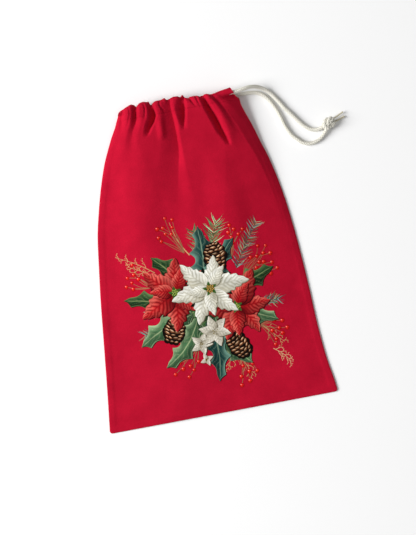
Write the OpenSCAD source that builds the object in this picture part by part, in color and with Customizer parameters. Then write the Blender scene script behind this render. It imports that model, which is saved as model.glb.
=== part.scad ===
// Cotton drawstring gift sack, lying on its back with its mouth half drawn shut.
// X runs along the bottom edge, Y from the bottom edge to the mouth, Z up from the table.
// The origin is at the middle of the sack's footprint, on the table.

/* [Sack] */
// Width along the bottom edge
sack_w = 300; // [280:5:320]
// Length from the bottom edge to the fold of the casing
sack_l = 412; // [400:4:424]
// Thickness of one layer of cotton
cloth_t = 0.8; // [0.6:0.1:0.8]
// Width of the seam allowance turned inside each edge
allowance_w = 8; // [6:1:9]
// Width of the flat edge where front and back lie on the allowance
edge_w = 3; // [2:0.5:4]

/* [Mouth] */
// Depth of the casing, from its stitch line to its fold
casing_d = 20; // [18:1:22]
// Height of the casing round the drawcord
casing_h = 8; // [7.5:0.5:9]
// Free height between the front casing and the back casing
mouth_gap = 6; // [5:0.5:8]
// Where the casing starts to turn round its left end
turn_x = -53; // [-55:1:-50]
// Right end of the casing at its fold
exit_fold_x = 84; // [80:1:86]
// Right end of the casing at its stitch line
exit_hem_x = 93; // [90:1:94]

/* [Drawcord] */
// Diameter of the braided cord
cord_d = 5; // [4:0.5:5]
// Distance between the two runs of cord along Y
cord_spread = 4; // [2:1:4]
// Where the cord leaves its straight run
cord_exit_x = 92; // [91:0.5:92]
// Gap between the straight run and the free tails, where they swing
swing_gap = 1.5; // [1.4:0.1:1.8]
// Diameter of the dipped cord ends
tip_d = 2.4; // [2:0.2:3]
// Length of the dipped cord ends
tip_l = 15; // [12:1:18]

/* [Stitching] */
// Distance from one stitch to the next
stitch_pitch = 3; // [2.5:0.5:4]
// Length of one stitch
stitch_l = 2.2; // [1.8:0.2:2.4]
// Thickness of the sewing thread
thread_t = 0.4; // [0.3:0.1:0.5]

/* [Print] */
// Thickness of the printed film
film_t = 0.2; // [0.1:0.05:0.3]
// Middle of the printed motif along the sack's length, from the origin
motif_y = -60; // [-70:5:-50]
// Radius of the printed motif
motif_r = 108; // [100:2:110]

/* [Hidden] */
$fn = 48;

RED = "#b8142c";
THREAD_RED = "#8f1023";
CREAM = "#e6e0cd";
FILM = "#c9413f";

bottom_y = -sack_l / 2;
fold_y = sack_l / 2;
hem_y = fold_y - casing_d;
casing_share = 1 - casing_d / sack_l;
edge_top = 3 * cloth_t;                    // back, allowance and front lie on each other
front_casing_z = casing_h + mouth_gap;
mouth_top = front_casing_z + casing_h;
mid_y = hem_y + casing_d / 2;
mid_z = mouth_top / 2;

// Side edges of the drawn sack, as [share of the length, share of half the width].
LEFT_EDGE = [[0, -1], [0.27, -0.915], [0.52, -0.83], [0.69, -0.74], [0.83, -0.625], [0.9, -0.525],
    [1, -0.4]];
RIGHT_EDGE = [[0, 1], [0.11, 0.953], [0.22, 0.927], [0.34, 0.92], [0.47, 0.9], [0.6, 0.867],
    [0.68, 0.833], [0.76, 0.787], [0.82, 0.747], [0.87, 0.707], [1, 0.59]];
// Height of the front along the middle line, as [share of the length, share of the mouth's height].
MIDDLE_RISE = [[0, 0], [0.03, 0.26], [0.08, 0.5], [0.2, 0.76], [0.4, 0.9], [0.7, 0.96], [1, 1]];
// How square the front's cross-section is, as [share of the length, exponent].
SQUARENESS = [[0, 2.2], [0.5, 2.6], [0.8, 4], [1, 7]];

// Lines of the grid that the front panel is laid out on.
ROWS = concat([0, edge_w / sack_l], [for (i = [1:24]) casing_share * i / 24]);
COLUMNS = [-1, -0.98, -0.94, -0.87, -0.76, -0.6, -0.4, -0.2, 0, 0.2, 0.4, 0.6, 0.76, 0.87, 0.94, 0.98, 1];

// Overhand knot in both tails: its middle, its direction on the table, its length and its girth.
KNOT = [202, 136, 7.2];
KNOT_TURN = 28;
KNOT_L = 20;
KNOT_D = 14;
knot_along = [cos(KNOT_TURN), sin(KNOT_TURN), 0];
knot_across = [-sin(KNOT_TURN), cos(KNOT_TURN), 0];
strand_in = KNOT - KNOT_L / 2 * knot_along - [0, 0, 3];
strand_apart = 0.52 * cord_d * knot_across;

// Free tails of the drawcord, from the casing to the knot.
tail_start_x = cord_exit_x + swing_gap;
UPPER_ROUTE = [[tail_start_x, 198, 18], [102, 199, 17.6], [111, 200, 14.5], [119, 199, 10],
    [126, 196, 6], [132, 191.5, 3.6], [137, 186, 2.6], [141, 180, 2.6], [145, 174, 2.6],
    [149, 167, 2.6], [155, 159, 2.6], [160, 152, 2.6], [165, 145, 2.6], [171, 138, 2.6],
    [176, 134, 2.6], [181, 131.5, 2.8], strand_in + strand_apart - 5 * knot_along,
    strand_in + strand_apart];
LOWER_ROUTE = [[tail_start_x, 194, 4], [100, 194, 3.6], [108, 194, 2.9], [115, 193, 2.6],
    [122, 190, 2.6], [127, 186, 2.6], [131, 181, 2.6], [134, 176, 2.6], [137, 170, 2.6],
    [140, 163, 2.6], [142, 157, 2.6], [144, 150, 2.6], [146, 143, 2.6], [149, 136, 2.6],
    [153, 129, 2.6], [158, 124, 2.6], [163, 119, 2.6], [169, 116, 2.6], [175, 115, 2.6],
    [181, 116, 2.6], [186, 119, 3], strand_in - strand_apart - 4 * knot_along,
    strand_in - strand_apart];

function row_y(share) = bottom_y + share * sack_l;
function left_x(share) = lookup(share, LEFT_EDGE) * sack_w / 2;
function right_x(share) = lookup(share, RIGHT_EDGE) * sack_w / 2;
function middle_z(share) = edge_top + lookup(share, MIDDLE_RISE) * (mouth_top - edge_top);

// Point of the front panel's outer face, s from -1 at the left flat edge to 1 at the right one.
function front_point(share, s) =
    let (left = left_x(share) + edge_w, right = right_x(share) - edge_w)
    let (rise = (middle_z(share) - edge_top) * (1 - pow(abs(s), lookup(share, SQUARENESS))))
    [left + (right - left) * (s + 1) / 2, row_y(share), edge_top + rise];
function edge_point(share, x) = [x, row_y(share), edge_top];
function front_row(share) = concat(
    [edge_point(share, left_x(share))],
    [for (s = COLUMNS) front_point(share, s)],
    [edge_point(share, right_x(share))]);
FRONT_GRID = [for (share = ROWS) share <= edge_w / sack_l
    ? [for (p = front_row(share)) [p[0], p[1], edge_top]]
    : front_row(share)];

function lifted(grid, z) = [for (row = grid) [for (p = row) p + [0, 0, z]]];

// Thin shell between two grids of points, over the cells that kept(i, j) picks.
module grid_shell(low, high, kept) {
    rows = len(low);
    columns = len(low[0]);
    id = function(at, side) (side * rows + at[0]) * columns + at[1];
    inside = function(i, j) i >= 0 && j >= 0 && i < rows - 1 && j < columns - 1 && kept(i, j);
    around = [[0, 0], [1, 0], [1, 1], [0, 1]];
    beyond = [[0, -1], [1, 0], [0, 1], [-1, 0]];
    cells = [for (i = [0:rows - 2]) for (j = [0:columns - 2]) if (kept(i, j)) [i, j]];
    polyhedron(
        points = [for (side = [low, high]) for (row = side) for (p = row) p],
        faces = concat(
            [for (c = cells) for (t = [[0, 1, 2], [0, 2, 3]]) [for (k = t) id(c + around[k], 1)]],
            [for (c = cells) for (t = [[2, 1, 0], [3, 2, 0]]) [for (k = t) id(c + around[k], 0)]],
            [for (c = cells) for (k = [0:3])
                if (!inside(c[0] + beyond[k][0], c[1] + beyond[k][1]))
                let (p = c + around[k], q = c + around[(k + 1) % 4])
                each [[id(q, 0), id(q, 1), id(p, 1)], [id(q, 0), id(p, 1), id(p, 0)]]]),
        convexity = 4);
}

// Round tube along a route, with one ring at each of its points.
module tube(route, d) {
    sides = 8;
    last = len(route) - 1;
    ring = function(i)
        let (along = route[min(i + 1, last)] - route[max(i - 1, 0)])
        let (across = cross(along, [0, 0, 1]) / norm(cross(along, [0, 0, 1])))
        let (over = cross(across, along) / norm(along))
        [for (k = [0:sides - 1]) route[i] + d / 2 * (cos(360 * k / sides) * across
            + sin(360 * k / sides) * over)];
    polyhedron(
        points = [for (i = [0:last]) each ring(i)],
        faces = concat(
            [[for (k = [sides - 1:-1:0]) k]],
            [for (i = [0:last - 1]) for (k = [0:sides - 1])
                let (a = i * sides + k, b = i * sides + (k + 1) % sides)
                each [[a, b, b + sides], [a, b + sides, a + sides]]],
            [[for (k = [0:sides - 1]) last * sides + k]]),
        convexity = 8);
}

// Outline of the casing across its length: square at the stitch line, round at the fold.
module casing_outline(inset) {
    translate([inset, inset])
        square([casing_d - casing_h / 2 - inset, casing_h - 2 * inset]);
    translate([casing_d - casing_h / 2, casing_h / 2])
        circle(casing_h / 2 - inset);
}

module casing_section() {
    difference() {
        casing_outline(0);
        casing_outline(cloth_t);
    }
}

// Straight casing with its slanted open end on the right.
module casing(bottom_z, left) {
    difference() {
        translate([left, hem_y, bottom_z])
            rotate([90, 0, 90])
            linear_extrude(exit_hem_x - left)
            casing_section();
        translate([0, 0, bottom_z - 1])
            linear_extrude(casing_h + 2)
            polygon([[exit_hem_x, hem_y], [exit_hem_x + 1, hem_y], [exit_hem_x + 1, fold_y + 1],
                [exit_fold_x, fold_y + 1], [exit_fold_x, fold_y]]);
    }
}

// Strip of seam allowance along one side edge. side is -1 on the left and 1 on the right.
function side_x(side, share) = side < 0 ? left_x(share) : right_x(share);
function side_line(side, inwards, shares) =
    [for (share = shares) [side_x(side, share) - side * inwards, row_y(share)]];
function reversed(list) = [for (i = [len(list) - 1:-1:0]) list[i]];

module side_allowance(side) {
    shares = [for (share = ROWS) if (share > 0) share];
    translate([0, 0, cloth_t])
        linear_extrude(cloth_t)
        polygon(concat(
            side_line(side, cloth_t / 2, shares),
            reversed(side_line(side, allowance_w, shares))));
}

// Overlock thread along the free edge of a side's allowance, seen as a zigzag.
module side_thread(side) {
    first = (allowance_w + 4 * thread_t) / sack_l;
    steps = round((casing_share - first) * sack_l / stitch_pitch);
    shares = [for (i = [0:steps]) first + (casing_share - first) * i / steps];
    near = allowance_w + 2 * thread_t;
    translate([0, 0, cloth_t])
        linear_extrude(cloth_t)
        polygon(concat(
            side_line(side, near, shares),
            reversed([for (i = [0:steps])
                [side_x(side, shares[i]) - side * (near + thread_t * (1 + i % 2)), row_y(shares[i])]])));
}

// Row of straight stitches lying on a casing, along its stitch line.
module hem_stitches(z) {
    first = turn_x + stitch_pitch;
    for (x = [first:stitch_pitch:exit_hem_x - 2 * stitch_pitch])
        translate([x, hem_y + 2, z])
            cube([stitch_l, thread_t, thread_t]);
}

module front_panel() {
    color(RED)
        grid_shell(lifted(FRONT_GRID, -cloth_t), FRONT_GRID, function(i, j) true);
}

module back_panel() {
    shares = [0, for (i = [1:24]) casing_share * i / 24];
    color(RED)
        linear_extrude(cloth_t)
        polygon(concat(side_line(-1, 0, shares), reversed(side_line(1, 0, shares))));
}

module front_casing() {
    color(RED) casing(front_casing_z, turn_x);
}

module back_casing() {
    color(RED) casing(0, turn_x);
}

// Left end of the casing, which turns the cord from the front layer to the back layer.
module casing_turn() {
    clearance = 0.3;
    color(RED)
        translate([turn_x - clearance, hem_y, mid_z])
        rotate([-90, 90, 0])
        rotate_extrude(angle = 180)
        translate([mouth_gap / 2, 0])
        mirror([1, -1])
        casing_section();
}

module left_seam_allowance() {
    color(RED) side_allowance(-1);
}

module right_seam_allowance() {
    color(RED) side_allowance(1);
}

module bottom_seam_allowance() {
    inset = allowance_w + 4 * thread_t;
    color(RED)
        translate([left_x(0) + inset, bottom_y + cloth_t / 2, cloth_t])
        cube([sack_w - 2 * inset, allowance_w - cloth_t / 2, cloth_t]);
}

module left_seam_thread() {
    color(THREAD_RED) side_thread(-1);
}

module right_seam_thread() {
    color(THREAD_RED) side_thread(1);
}

module bottom_seam_thread() {
    inset = allowance_w + 8 * thread_t;
    steps = round((sack_w - 2 * inset) / stitch_pitch);
    near = bottom_y + allowance_w + thread_t / 2;
    xs = [for (i = [0:steps]) left_x(0) + inset + (sack_w - 2 * inset) * i / steps];
    color(THREAD_RED)
        translate([0, 0, cloth_t])
        linear_extrude(cloth_t)
        polygon(concat(
            [[xs[0], near], [xs[steps], near]],
            [for (i = [steps:-1:0]) [xs[i], near + thread_t * (1 + i % 2)]]));
}

module front_hem_stitches() {
    color(THREAD_RED) hem_stitches(mouth_top);
}

module back_hem_stitches() {
    color(THREAD_RED) hem_stitches(casing_h);
}

// Close zigzag that stops the hem tearing where the cord comes out.
module exit_bar_tack() {
    color(THREAD_RED)
        for (i = [0:7])
            translate([exit_hem_x - 4, hem_y + 2 + i * 2 * thread_t, mouth_top])
                cube([stitch_l, thread_t, thread_t]);
}

module motif_print() {
    reach = motif_r + sack_l / len(ROWS);
    color(FILM)
        intersection() {
            grid_shell(FRONT_GRID, lifted(FRONT_GRID, film_t),
                function(i, j) abs(FRONT_GRID[i][j][1] - motif_y) < reach && j > 0 && j < len(COLUMNS));
            translate([0, motif_y, 0])
                cylinder(r = motif_r, h = 2 * mouth_top);
        }
}

// The part of the cord inside the casing: out along the front, round the left end and back.
module drawcord_run() {
    rise = mouth_top - casing_h;
    bend_r = norm([cord_spread, rise]) / 2;
    color(CREAM)
        translate([turn_x, mid_y, mid_z])
        rotate([-atan(cord_spread / rise), 0, 0]) {
            rotate([-90, 90, 0])
                rotate_extrude(angle = 180)
                translate([bend_r, 0])
                circle(d = cord_d);
            for (side = [-1, 1])
                translate([0, 0, side * bend_r])
                    rotate([0, 90, 0])
                    cylinder(d = cord_d, h = cord_exit_x - turn_x);
        }
}

module upper_tail() {
    color(CREAM) tube(UPPER_ROUTE, cord_d);
}

module lower_tail() {
    color(CREAM) tube(LOWER_ROUTE, cord_d);
}

// Overhand knot tied in both tails together.
module knot() {
    color(CREAM)
        translate(KNOT)
        rotate([0, 90, KNOT_TURN])
        rotate_extrude()
        polygon(concat(
            [[0, -KNOT_L / 2]],
            [for (a = [-65:13:65]) [KNOT_D / 2 * pow(cos(a), 0.6), KNOT_L / 2 * sin(a) / sin(65)]],
            [[0, KNOT_L / 2]]));
}

// Dipped end of the cord, with the small bead that the dip leaves. side is 1 above and -1 below.
module tip(side) {
    translate(KNOT + KNOT_L / 2 * knot_along + side * 2 * knot_across - [0, 0, 2])
        rotate([0, 90, KNOT_TURN]) {
            cylinder(d = tip_d, h = tip_l);
            translate([0, 0, tip_l])
                sphere(d = tip_d * 1.25);
        }
}

module upper_tip() {
    color(CREAM) tip(1);
}

module lower_tip() {
    color(CREAM) tip(-1);
}

front_panel();
back_panel();
front_casing();
back_casing();
casing_turn();
left_seam_allowance();
right_seam_allowance();
bottom_seam_allowance();
left_seam_thread();
right_seam_thread();
bottom_seam_thread();
front_hem_stitches();
back_hem_stitches();
exit_bar_tack();
motif_print();
drawcord_run();
upper_tail();
lower_tail();
knot();
upper_tip();
lower_tip();
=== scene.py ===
import math

import bpy
import numpy as np
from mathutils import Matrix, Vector


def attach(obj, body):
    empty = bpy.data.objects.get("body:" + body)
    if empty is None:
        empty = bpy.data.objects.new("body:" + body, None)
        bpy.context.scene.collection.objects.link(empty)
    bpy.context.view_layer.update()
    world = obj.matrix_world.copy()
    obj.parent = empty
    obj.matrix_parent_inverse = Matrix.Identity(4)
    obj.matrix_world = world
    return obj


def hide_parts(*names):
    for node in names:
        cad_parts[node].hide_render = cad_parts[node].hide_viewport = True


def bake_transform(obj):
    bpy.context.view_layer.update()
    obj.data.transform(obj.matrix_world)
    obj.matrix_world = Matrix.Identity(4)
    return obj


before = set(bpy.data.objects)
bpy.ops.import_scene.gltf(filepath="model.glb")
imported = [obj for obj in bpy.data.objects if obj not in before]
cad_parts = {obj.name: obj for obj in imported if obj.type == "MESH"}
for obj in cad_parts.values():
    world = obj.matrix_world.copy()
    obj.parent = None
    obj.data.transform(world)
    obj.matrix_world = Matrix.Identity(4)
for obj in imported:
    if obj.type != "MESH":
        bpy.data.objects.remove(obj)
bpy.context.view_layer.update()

# Lengths here are in millimetres, and MM turns them into Blender's metres.
MM = 0.001

# ---------------------------------------------------------------- camera, light and floor

VIEW_CENTRE = (14.4, -17.9)
VIEW_HEIGHT_MM = 692
VIEW_ROLL = math.radians(-10.68)
LENS_MM = 100
SENSOR_MM = 36
# Each light's place and the width of its disc in metres, and its power in watts.
KEY_LIGHT = ((-3.7, 0.5, 2.5), 3.0, 300)
FILL_LIGHT = ((0.4, -0.8, 4.2), 2.6, 12)
WORLD_STRENGTH = 0.28
FLOOR_HALF_MM = 14000


def build_camera():
    data = bpy.data.cameras.new("camera")
    data.lens = LENS_MM
    data.sensor_width = SENSOR_MM
    data.clip_end = 20
    camera = bpy.data.objects.new("camera", data)
    height = VIEW_HEIGHT_MM * LENS_MM / SENSOR_MM
    camera.location = (VIEW_CENTRE[0] * MM, VIEW_CENTRE[1] * MM, height * MM)
    camera.rotation_euler = (0, 0, VIEW_ROLL)
    bpy.context.scene.collection.objects.link(camera)
    bpy.context.scene.camera = camera


def area_light(name, place, size, power):
    """A round light that faces the origin."""
    data = bpy.data.lights.new(name, "AREA")
    data.shape = "DISK"
    data.size = size
    data.energy = power
    light = bpy.data.objects.new(name, data)
    light.location = place
    light.rotation_euler = (-Vector(place)).to_track_quat("-Z", "Y").to_euler()
    bpy.context.scene.collection.objects.link(light)


def build_studio():
    area_light("key", *KEY_LIGHT)
    area_light("fill", *FILL_LIGHT)
    world = bpy.data.worlds.new("studio")
    world.use_nodes = True
    sky = world.node_tree.nodes["Background"]
    sky.inputs["Color"].default_value = (1, 1, 1, 1)
    sky.inputs["Strength"].default_value = WORLD_STRENGTH
    bpy.context.scene.world = world
    bpy.context.scene.view_settings.view_transform = "Standard"
    corners = [(x * FLOOR_HALF_MM, y * FLOOR_HALF_MM, 0) for x, y in ((-1, -1), (1, -1), (1, 1), (-1, 1))]
    floor = new_piece("floor", corners, [(0, 1, 2, 3)])
    floor.data.materials.append(shader("pale_floor", (0.93, 0.93, 0.93), 0.9))


# ---------------------------------------------------------------- meshes and lines

def new_piece(name, points, faces, uv=None, colours=None):
    """Mesh object from points in millimetres. uv and colours are per point."""
    mesh = bpy.data.meshes.new(name)
    mesh.from_pydata([tuple(p) for p in np.asarray(points, float) * MM], [], [tuple(f) for f in faces])
    loops = np.zeros(len(mesh.loops), np.int32)
    mesh.loops.foreach_get("vertex_index", loops)
    if uv is not None:
        layer = mesh.uv_layers.new(name="cloth")
        layer.data.foreach_set("uv", np.asarray(uv, np.float32)[loops].ravel())
    if colours is not None:
        attribute = mesh.color_attributes.new("paint", "FLOAT_COLOR", "POINT")
        rgba = np.ones((len(mesh.vertices), 4), np.float32)
        rgba[:, :3] = colours
        attribute.data.foreach_set("color", rgba.ravel())
    mesh.polygons.foreach_set("use_smooth", np.ones(len(mesh.polygons), bool))
    mesh.update()
    piece = bpy.data.objects.new(name, mesh)
    bpy.context.scene.collection.objects.link(piece)
    return piece


def grid_faces(rows, columns, around=False, start=0, flip=False):
    """Quads of a grid of rows by columns points. around closes each row into a ring."""
    faces = []
    for row in range(start, start + (rows - 1) * columns, columns):
        for j in range(columns if around else columns - 1):
            k = (j + 1) % columns
            quad = (row + j, row + k, row + columns + k, row + columns + j)
            faces.append(quad[::-1] if flip else quad)
    return faces


def tube_faces(rings, sides):
    """Faces of a tube made of rings of points, with both ends closed."""
    last = (rings - 1) * sides
    ends = [tuple(range(sides)), tuple(range(last + sides - 1, last - 1, -1))]
    return grid_faces(rings, sides, around=True, flip=True) + ends


def smooth_step(low, high, value):
    t = np.clip((value - low) / (high - low), 0, 1)
    return t * t * (3 - 2 * t)


def hermite(t, step, start, end, start_slope, end_slope):
    """Cubic curve between two values with the given slopes, at the share t of a step."""
    return ((1 + 2 * t) * (1 - t) ** 2 * start + t * (1 - t) ** 2 * step * start_slope
            + t * t * (3 - 2 * t) * end + t * t * (t - 1) * step * end_slope)


def smooth_line(points):
    """Smooth function through (at, value) points, which never swings beyond them."""
    at, value = np.array(sorted(points), float).T
    step = np.diff(at)
    slope = np.diff(value) / step
    turns = slope[:-1] * slope[1:] <= 0
    total = np.where(turns, 1, slope[:-1] + slope[1:])
    tangent = np.concatenate([slope[:1], np.where(turns, 0, 2 * slope[:-1] * slope[1:] / total), slope[-1:]])

    def line(x):
        x = np.clip(x, at[0], at[-1])
        k = np.clip(np.searchsorted(at, x) - 1, 0, len(at) - 2)
        t = (x - at[k]) / step[k]
        return hermite(t, step[k], value[k], value[k + 1], tangent[k], tangent[k + 1])
    return line


def walk(points):
    """How far along a line of points each one is."""
    return np.concatenate([[0], np.cumsum(np.linalg.norm(np.diff(points, axis=0), axis=1))])


def unit(vectors):
    return vectors / np.linalg.norm(vectors, axis=1)[:, None]


def spline(points, spacing):
    """Points at an even spacing along a smooth curve through the given ones."""
    p = np.array(points, float)
    chord = walk(p)
    slope = np.gradient(p, chord, axis=0)
    u = np.linspace(0, chord[-1], 12 * len(p))
    k = np.clip(np.searchsorted(chord, u) - 1, 0, len(p) - 2)
    h = (chord[k + 1] - chord[k])[:, None]
    t = ((u - chord[k]) / h[:, 0])[:, None]
    return resample(hermite(t, h, p[k], p[k + 1], slope[k], slope[k + 1]), spacing)


def resample(points, spacing):
    p = np.asarray(points, float)
    walked = walk(p)
    count = max(2, int(round(walked[-1] / spacing)) + 1)
    even = np.linspace(0, walked[-1], count)
    return np.stack([np.interp(even, walked, p[:, k]) for k in range(3)], axis=1)


def frames(path):
    """Two unit vectors across the path at each of its points, which turn as little as possible."""
    along = unit(np.gradient(path, axis=0))
    start = np.cross(along[0], (0, 0, 1) if abs(along[0][2]) < 0.9 else (1, 0, 0))
    side = [start / np.linalg.norm(start)]
    for direction in along[1:]:
        flat = side[-1] - direction * np.dot(side[-1], direction)
        side.append(flat / np.linalg.norm(flat))
    side = np.array(side)
    return side, np.cross(along, side)


def tube(path, radius, sides=8):
    """Points and faces of a round tube with closed ends. radius is one number or one per point."""
    path = np.asarray(path, float)
    side, up = frames(path)
    radius = np.broadcast_to(radius, len(path))
    turn = np.linspace(0, 2 * np.pi, sides, endpoint=False)
    ring = (np.cos(turn)[None, :, None] * side[:, None] + np.sin(turn)[None, :, None] * up[:, None])
    return (path[:, None] + radius[:, None, None] * ring).reshape(-1, 3), tube_faces(len(path), sides)


def joined(parts):
    """One list of points and faces out of several."""
    points, faces, count = [], [], 0
    for part_points, part_faces in parts:
        points.append(np.asarray(part_points, float))
        faces += [tuple(i + count for i in face) for face in part_faces]
        count += len(part_points)
    return np.concatenate(points), faces


# ---------------------------------------------------------------- materials

WEAVE_PITCH = 0.62


def shader(name, colour, roughness, **inputs):
    """A principled material. In the names of more inputs _ stands for a space."""
    material = bpy.data.materials.new(name)
    material.use_nodes = True
    sockets = material.node_tree.nodes["Principled BSDF"].inputs
    sockets["Base Color"].default_value = (*colour, 1)
    sockets["Roughness"].default_value = roughness
    for key, value in inputs.items():
        sockets[key.replace("_", " ")].default_value = value
    return material


def surface(material, normal, colour=None):
    """Joins a normal and a colour to a material's shader."""
    sockets = material.node_tree.nodes["Principled BSDF"].inputs
    material.node_tree.links.new(normal, sockets["Normal"])
    if colour is not None:
        material.node_tree.links.new(colour, sockets["Base Color"])
    return material


def node(tree, kind, *first, **values):
    """A shader node. Outputs of other nodes are joined to its inputs, by place or by name."""
    made = tree.nodes.new(kind)
    for key, value in (*enumerate(first), *values.items()):
        if isinstance(key, str) and key not in made.inputs:
            setattr(made, key, value)
        elif isinstance(value, bpy.types.NodeSocket):
            tree.links.new(value, made.inputs[key])
        else:
            made.inputs[key].default_value = value
    return made


def noise(tree, scale, detail, roughness=0.5):
    space = node(tree, "ShaderNodeTexCoord")
    return node(tree, "ShaderNodeTexNoise", Vector=space.outputs["Object"], Scale=scale, Detail=detail,
                Roughness=roughness).outputs["Fac"]


def ramp(tree, factor, *stops):
    """Colour that runs between two stops, each a place and a colour."""
    made = node(tree, "ShaderNodeValToRGB", Fac=factor)
    for element, (place, colour) in zip(made.color_ramp.elements, stops):
        element.position = place
        element.color = (*colour, 1)
    return made.outputs["Color"]


def painted(tree, colour):
    """A colour multiplied by the one painted on the mesh: the printed colours on the ink, and painted shade
    on the braids.
    """
    paint_layer = node(tree, "ShaderNodeVertexColor", layer_name="paint")
    return node(tree, "ShaderNodeMixRGB", blend_type="MULTIPLY", Fac=1.0, Color1=colour,
                Color2=paint_layer.outputs["Color"]).outputs["Color"]


def bump(tree, height, strength, distance, **values):
    return node(tree, "ShaderNodeBump", Height=height, Strength=strength, Distance=distance,
                **values).outputs["Normal"]


def weave_height(tree, pitch_mm):
    """Height of a plain weave. The cloth's UV map is in millimetres along its two threads."""
    uv = node(tree, "ShaderNodeUVMap", uv_map="cloth").outputs["UV"]
    scale = math.pi / (10 * pitch_mm)
    waves = [node(tree, "ShaderNodeTexWave", bands_direction=direction, wave_profile="SIN", Vector=uv,
                  Scale=scale, Distortion=1.2, Detail=1.0, **{"Detail Scale": 2.0}).outputs["Fac"]
             for direction in "XY"]
    return node(tree, "ShaderNodeMath", *waves, operation="ADD").outputs[0]


def cotton_material():
    material = shader("red_cotton", (0.5, 0.008, 0.026), 0.9, Sheen_Weight=0.04, Sheen_Roughness=0.5,
                      Sheen_Tint=(1.0, 0.2, 0.25, 1), Specular_IOR_Level=0.06)
    tree = material.node_tree
    mottle, slub = noise(tree, 38, 6, 0.62), noise(tree, 900, 3, 0.6)
    both = node(tree, "ShaderNodeMath", mottle, slub, operation="MULTIPLY").outputs[0]
    colour = ramp(tree, both, (0.12, (0.40, 0.0032, 0.021)), (0.42, (0.52, 0.0056, 0.029)))
    weave = bump(tree, weave_height(tree, WEAVE_PITCH), 0.35, 0.0002)
    return surface(material, bump(tree, mottle, 0.25, 0.0008, Normal=weave), colour)


def thread_material():
    material = shader("red_thread", (0.36, 0.003, 0.015), 0.8, Specular_IOR_Level=0.05)
    tree = material.node_tree
    return surface(material, bump(tree, noise(tree, 2600, 2), 0.5, 0.0001))


def cord_material(name, light, dark, braided):
    """Cotton yarn, darker between its fibres and, on a braid, darker where shade is painted on the mesh."""
    material = shader(name, light, 0.85, Sheen_Weight=0.15, Specular_IOR_Level=0.2)
    tree = material.node_tree
    fibre = noise(tree, 1500, 4, 0.65)
    colour = ramp(tree, fibre, (0.3, dark), (0.62, light))
    return surface(material, bump(tree, fibre, 0.5, 0.00025), painted(tree, colour) if braided else colour)


def ink_material():
    """Printed ink: the colours painted on the mesh, broken by the grain of the cloth under them."""
    material = shader("printed_motif", (0.5, 0.5, 0.5), 0.8, Specular_IOR_Level=0.08)
    tree = material.node_tree
    grain = noise(tree, 420, 5, 0.7)
    colour = ramp(tree, grain, (0.25, (0.8, 0.8, 0.8)), (0.7, (1, 1, 1)))
    return surface(material, bump(tree, grain, 0.3, 0.0002), painted(tree, colour))


# ---------------------------------------------------------------- cord

CORD_D = 5.0
# Length in which a strand goes once round the braid.
BRAID_LAY = 13.5
RUN_Z = {"front": 18.0, "back": 4.0}
RUN_Y = {"front": 196.5, "back": 194.0}
RUN_D = 4.2
TURN_X = -53.0
EXIT_X = 84.0

# The routes of the two tails, as in part.scad, with their first stretch inside the casing.
UPPER_ROUTE = [
    (EXIT_X, 196.9, 18), (93.5, 197.6, 18), (102, 199, 17.6), (111, 200, 14.5), (119, 199, 10),
    (126, 196, 6), (132, 191.5, 3.6), (137, 186, 2.6), (141, 180, 2.6), (145, 174, 2.6),
    (149, 167, 2.6), (155, 159, 2.6), (160, 152, 2.6), (165, 145, 2.6), (171, 138, 2.6),
    (176, 134, 2.6), (181, 131.8, 2.8), (188, 131.2, 4.0), (193.5, 132.5, 5.2)]
LOWER_ROUTE = [
    (EXIT_X, 193.8, 4), (93.5, 194, 4), (100, 194, 3.6), (108, 194, 2.9), (115, 193, 2.6),
    (122, 190, 2.6), (127, 186, 2.6), (131, 181, 2.6), (134, 176, 2.6), (137, 170, 2.6),
    (140, 163, 2.6), (142, 157, 2.6), (144, 150, 2.6), (146, 143, 2.6), (149, 136, 2.6),
    (153, 129, 2.6), (158, 124, 2.6), (163, 119, 2.6), (169, 116, 2.6), (175, 115, 2.6),
    (181, 116, 2.6), (187, 118.5, 2.8), (192, 122.5, 3.4), (196.5, 127.5, 4.8), (199.5, 132, 6.0)]
KNOT = (202.0, 136.0, 7.2)
KNOT_TURN = math.radians(28)
KNOT_TILT = (math.radians(52), 0, KNOT_TURN)
KNOT_STRAND_D = 4.5
KNOT_FLAT = 0.68


def braid(path, diameter, rings_per_mm=1.6, sides=8):
    """An eight-strand round braid: four strands turn each way, over and under each other.

    Returns points, faces and a painted shade for each point: darker at the sides of each strand, where it
    goes under another and on the strands that turn one way, and darkest on the core, which shows in the gaps
    between strands.
    """
    fine = resample(path, 1 / rings_per_mm)
    side, up = frames(fine)
    walked = walk(fine)
    orbit, swing, strand = 0.335 * diameter, 0.045 * diameter, 0.165 * diameter
    angles = np.linspace(0, 2 * np.pi, sides, endpoint=False)
    parts, painted_shades = [], []
    for hand in (1, -1):
        for k in range(4):
            turn = hand * 2 * np.pi * walked / BRAID_LAY + k * np.pi / 2
            over = hand * np.cos(8 * np.pi * walked / BRAID_LAY)
            out = np.cos(turn)[:, None] * side + np.sin(turn)[:, None] * up
            line = fine + (orbit + swing * over)[:, None] * out
            flat = unit(np.cross(np.gradient(line, axis=0), out))
            ring = (1.22 * np.cos(angles)[None, :, None] * flat[:, None]
                    + 0.95 * np.sin(angles)[None, :, None] * out[:, None])
            parts.append(((line[:, None] + strand * ring).reshape(-1, 3), tube_faces(len(line), sides)))
            # Painted shade: darker at the sides of each strand, and darker still where it goes under another
            # strand.
            shade = smooth_step(0, 0.95, np.sin(angles))[None, :] * (0.72 + 0.28 * over)[:, None]
            # Painted shade: the strands that turn one way are darker, as if they faced away from the light.
            painted_shades.append((0.42 + 0.58 * shade.ravel()) * (1.0 if hand > 0 else 0.84))
    # The core is painted dark, so that it shows as shade in the gaps between the strands.
    parts.append(tube(fine[::3], 0.3 * diameter, 8))
    painted_shades.append(np.full(len(parts[-1][0]), 0.24))
    return (*joined(parts), np.concatenate(painted_shades))


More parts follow.
